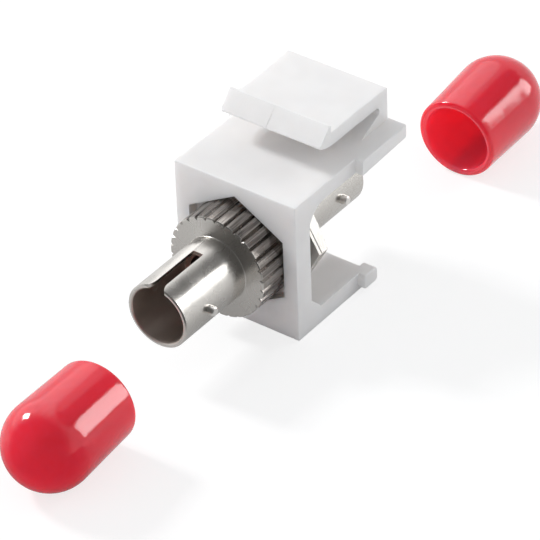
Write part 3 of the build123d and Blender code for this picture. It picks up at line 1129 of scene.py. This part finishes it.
@dataclass(frozen=True)
class Window:
    """The tall soft box that gloss shows to the rear right; its half sizes are outer and inner degrees."""

    azimuth: float = 37.0
    elevation: float = 18.0
    half_width: Span = (10.5, 8.0)
    half_height: Span = (15.0, 11.5)
    level: float = 7.0

    def mask(self, desk: ShaderDesk, view: object) -> bpy.types.NodeSocket:
        """Return the mask of the box, 1 inside it."""
        split = desk.parts(view)
        turned = desk.maths("ARCTAN2", split["X"], split["Y"])
        sides = desk.maths("ABSOLUTE", desk.maths("SUBTRACT", turned, radians(self.azimuth)))
        heights = desk.maths("ABSOLUTE", desk.maths("SUBTRACT", split["Z"], sin(radians(self.elevation))))
        beside = desk.smooth_range(sides, *(radians(half) for half in self.half_width))
        level_share = desk.smooth_range(heights, *(sin(radians(half)) for half in self.half_height))
        return desk.maths("MULTIPLY", beside, level_share)


@dataclass
class Studio:
    """Pale floor, dome with cards and a window for gloss, key lamp, rear right box and front left fill."""

    floor_size: float = 6.0
    floor_grey: float = 0.92
    dome: Colour = (0.45, 0.465, 0.48)
    floor_glow: float = 0.74
    floor_lit: float = 0.32
    mirror_level: float = 0.8
    # Painted shadow in the floor that reflections see: these values make it darker near the module and darker
    # before it.
    painted_shadow_reach: float = 16.0 * MM
    floor_mirror_far: float = 0.1
    floor_mirror_gain: float = 0.8
    dark_floor_towards: float = 150.0
    dark_floor_from: float = 14.0 * MM
    dark_floor_to: float = 36.0 * MM
    boxes: tuple[SoftBox, ...] = (
        SoftBox("key_lamp", -94.0, 38.0, 0.6, 0.12, 0.12, 51.0),
        SoftBox("rear_right_box", 25.0, 20.0, 0.6, 0.21, 0.36, 4.1, mirrored=False),
        SoftBox("front_left_fill", -150.0, 20.0, 0.6, 0.6, 0.36, 0.82, mirrored=False),
    )
    cards: tuple[Card, ...] = (
        Card(-80.0, 45.0, 42.0, 2.0, edge=0.12),
        Card(172.0, 24.0, 92.0, 0.15),
        Card(24.0, 50.0, 22.0, 0.27),
    )
    window: Window = Window()

    def mirrored_floor_with_painted_shadow(self, desk: ShaderDesk) -> bpy.types.NodeSocket:
        """Return how bright the floor is in reflections: a painted shadow near the module, and darker before
        it.
        """
        place = desk.add("ShaderNodeTexCoord").outputs["Object"]
        fall = desk.maths("DIVIDE", desk.length(place), -self.painted_shadow_reach)
        painted_shadow_fade = desk.maths("SUBTRACT", 1.0, desk.maths("EXPONENT", fall))
        ahead = desk.reach(place, direction(self.dark_floor_towards, 0.0))
        open_share = desk.smooth_range(ahead, self.dark_floor_to, self.dark_floor_from)
        level = desk.maths("MULTIPLY_ADD", open_share, self.floor_mirror_gain, self.floor_mirror_far)
        return desk.maths("MULTIPLY", painted_shadow_fade, level)

    def floor(self) -> None:
        """Make the floor: white to the eye with a soft shadow, and grey to reflections, with a painted shadow
        near the module.
        """
        half = self.floor_size / 2
        corners = [(x * half, y * half, FLOOR_LEVEL) for x, y in ((-1, -1), (1, -1), (1, 1), (-1, 1))]
        mesh = bpy.data.meshes.new("floor")
        mesh.from_pydata(corners, [], [(0, 1, 2, 3)])
        slab = new_piece("floor", mesh)
        material = bpy.data.materials.new("floor_paper")
        material.use_nodes = True
        desk = ShaderDesk(material.node_tree)
        rays = desk.add("ShaderNodeLightPath").outputs
        paper = desk.place("ShaderNodeBsdfDiffuse", {"Color": grey(self.floor_grey)})
        # Painted shadow: reflections see a floor that glows less near the module and before it.
        mirrored = desk.place("ShaderNodeEmission", {"Strength": self.mirrored_floor_with_painted_shadow(desk)})
        glow = desk.place("ShaderNodeEmission", {"Strength": self.floor_glow})
        lit = desk.place("ShaderNodeBsdfDiffuse", {"Color": grey(self.floor_lit)})
        seen = desk.add("ShaderNodeAddShader")
        desk.feed(seen.inputs[0], glow.outputs[0])
        desk.feed(seen.inputs[1], lit.outputs[0])
        unseen = desk.mixed(rays["Is Glossy Ray"], paper.outputs[0], mirrored.outputs[0])
        white_share = desk.maths("MAXIMUM", rays["Is Camera Ray"], rays["Is Transmission Ray"])
        surface = desk.mixed(white_share, unseen, seen.outputs[0])
        desk.place("ShaderNodeOutputMaterial", {"Surface": surface})
        mesh.materials.append(material)

    def world(self) -> None:
        """Make the dome: white to the eye, even to matt surfaces, a studio with dark cards to gloss."""
        world = bpy.data.worlds.new("studio")
        world.use_nodes = True
        bpy.context.scene.world = world
        desk = ShaderDesk(world.node_tree)
        view = desk.add("ShaderNodeTexCoord").outputs["Generated"]
        rays = desk.add("ShaderNodeLightPath").outputs
        studio = grey(self.mirror_level)
        for card in self.cards:
            studio = desk.blend(card.mask(desk, view), studio, grey(self.mirror_level * card.share))
        studio = desk.blend(self.window.mask(desk, view), studio, grey(self.window.level))
        shown = desk.blend(rays["Is Glossy Ray"], self.dome, studio)
        white_share = desk.maths("MAXIMUM", rays["Is Camera Ray"], rays["Is Transmission Ray"])
        shown = desk.blend(white_share, shown, grey(1.0))
        backdrop = desk.place("ShaderNodeBackground", {"Color": shown, "Strength": 1.0})
        desk.place("ShaderNodeOutputWorld", {"Surface": backdrop.outputs[0]})

    def build(self) -> None:
        """Make the floor, the dome and the lamps."""
        bpy.context.scene.view_settings.view_transform = "Standard"
        self.floor()
        self.world()
        for box in self.boxes:
            box.build()


def main() -> None:
    """Build the camera and the studio, then the module's pieces in order."""
    logging.basicConfig(level=logging.INFO, format="%(name)s: %(message)s")
    PhotoCamera().build()
    Studio().build()
    Moulding().build()
    FrontShell().build()
    Adapter().build()
    DustCap(End.FRONT, (0.25 * MM, -22.3 * MM), 4.0).build()
    DustCap(End.REAR, (4.15 * MM, 31.5 * MM), 2.5, seed=8).build()


if __name__ == "__main__":
    main()
